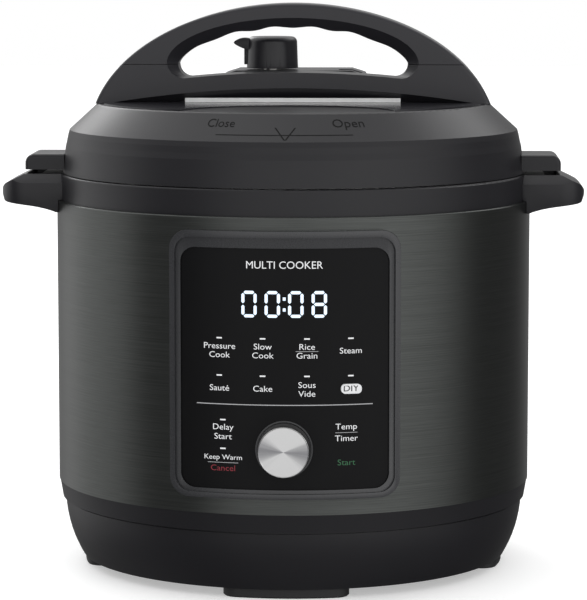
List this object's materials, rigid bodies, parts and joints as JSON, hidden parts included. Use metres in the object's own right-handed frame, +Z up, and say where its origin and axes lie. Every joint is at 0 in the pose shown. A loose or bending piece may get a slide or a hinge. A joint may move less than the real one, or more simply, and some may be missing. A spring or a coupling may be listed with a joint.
{
  "type": "electric pressure cooker",
  "caption": "Countertop electric pressure cooker with a twist-off lid, steam release, curved front panel with a push dial, side handles and a lift-out pot.",
  "frame": {"origin": "centre of the whole object's footprint box, on the surface that it stands on; this is on the pot's axis", "axes": "+Z up along the pot's axis, -Y towards the control panel, +X to the right as seen from the front"},
  "size_m": [0.3292, 0.294, 0.3182],
  "materials": {
    "housing_plastic": "satin moulded black plastic",
    "lid_plastic": "fine-grained satin black plastic",
    "handle_plastic": "semi-gloss black plastic",
    "bezel_plastic": "semi-gloss black plastic",
    "panel_black": "polished black cover glass with printed marks",
    "dark_steel": "black-coated steel, brushed round",
    "pot_steel": "satin stainless steel",
    "cast_aluminium": "cast",
    "dial_metal": "spun face with a bright chamfer",
    "screw_steel": "zinc-plated",
    "pin_brass": "plated",
    "foot_rubber": "matt",
    "silicone": "translucent silicone",
    "board": "solder-masked circuit board",
    "component_plastic": "moulded component cases",
    "wire_sheath": "insulated wire",
    "light_guide": "frosted light guide",
    "float_red": "red-topped metal pin",
    "clear_plastic": "smoke-clear plastic"
  },
  "bodies": {
    "base": {"bottom_housing": "housing_plastic", "bottom_cover": "housing_plastic", "foot_pads": "foot_rubber", "cover_screws": "screw_steel", "steel_shell": "dark_steel", "upper_rim": "lid_plastic", "side_handle_left": "lid_plastic", "side_handle_right": "lid_plastic", "handle_screws": "screw_steel", "outer_pot": "pot_steel", "locking_ring": "pot_steel", "heat_shield": "pot_steel", "heating_plate": "cast_aluminium", "heating_element": "cast_aluminium", "thermal_fuse": "screw_steel", "sensor_bracket": "pot_steel", "sensor_spring": "screw_steel", "power_board": "board", "relay": "component_plastic", "transformer": "component_plastic", "capacitors": "component_plastic", "inlet_socket": "housing_plastic", "inlet_pins": "pin_brass", "mains_wires": "wire_sheath", "heater_wires": "wire_sheath", "panel_cable": "wire_sheath", "panel_bezel": "bezel_plastic", "panel_glass": "panel_black", "panel_carrier": "housing_plastic", "control_board": "board", "display_module": "component_plastic", "light_guides": "light_guide", "encoder_body": "component_plastic", "dial_trim_ring": "bezel_plastic", "collector_bracket": "housing_plastic"},
    "pot": {"inner_pot": "pot_steel"},
    "seal": {"sealing_ring": "silicone", "ring_rack": "screw_steel"},
    "lid": {"lid_cover": "lid_plastic", "lid_skirt": "lid_plastic", "inner_lid": "pot_steel", "centre_nut": "screw_steel", "handle_bridge": "handle_plastic", "handle_grip": "handle_plastic", "lid_screws": "screw_steel", "release_cover": "handle_plastic", "exhaust_pipe": "pot_steel", "steam_shield": "pot_steel"},
    "release": {"release_knob": "handle_plastic"},
    "weight": {"vent_weight": "screw_steel"},
    "float": {"float_valve": "float_red", "float_seal_cap": "silicone"},
    "plunger": {"push_plunger": "component_plastic"},
    "dial": {"encoder_shaft": "screw_steel", "dial_knob": "dial_metal"},
    "sensor": {"temp_sensor": "cast_aluminium"},
    "collector": {"condensation_collector": "clear_plastic"}
  },
  "joints": [
    {"name": "pot_lift", "type": "slide", "parent": "base", "child": "pot", "axis": [0, 0, 1], "range_m": [0, 0.17]},
    {"name": "lid_lift", "type": "slide", "parent": "pot", "child": "seal", "axis": [0, 0, 1], "range_m": [0, 0.12]},
    {"name": "lid_turn", "type": "hinge", "parent": "seal", "child": "lid", "pos_m": [0, 0, 0.2], "axis": [0, 0, 1], "range_deg": [0, 30]},
    {"name": "release_turn", "type": "hinge", "parent": "lid", "child": "release", "pos_m": [-0.0133, 0.0315, 0.284], "axis": [0, 0, -1], "range_deg": [0, 50]},
    {"name": "weight_lift", "type": "slide", "parent": "release", "child": "weight", "axis": [0, 0, 1], "range_m": [0, 0.0015]},
    {"name": "float_rise", "type": "slide", "parent": "lid", "child": "float", "axis": [0, 0, 1], "range_m": [0, 0.005]},
    {"name": "dial_press", "type": "slide", "parent": "base", "child": "plunger", "axis": [0, 1, 0], "range_m": [0, 0.0008], "stiffness_N_per_m": 300, "springref_m": -0.001},
    {"name": "dial_turn", "type": "hinge", "parent": "plunger", "child": "dial", "pos_m": [0, -0.14, 0.0846], "axis": [0, 1, 0], "continuous": true},
    {"name": "sensor_press", "type": "slide", "parent": "base", "child": "sensor", "axis": [0, 0, 1], "range_m": [-0.0015, 0], "stiffness_N_per_m": 1500, "springref_m": 0.002, "deforming": ["sensor_spring"]},
    {"name": "collector_pull", "type": "slide", "parent": "base", "child": "collector", "axis": [0, 1, 0], "range_m": [0, 0.03]}
  ]
}
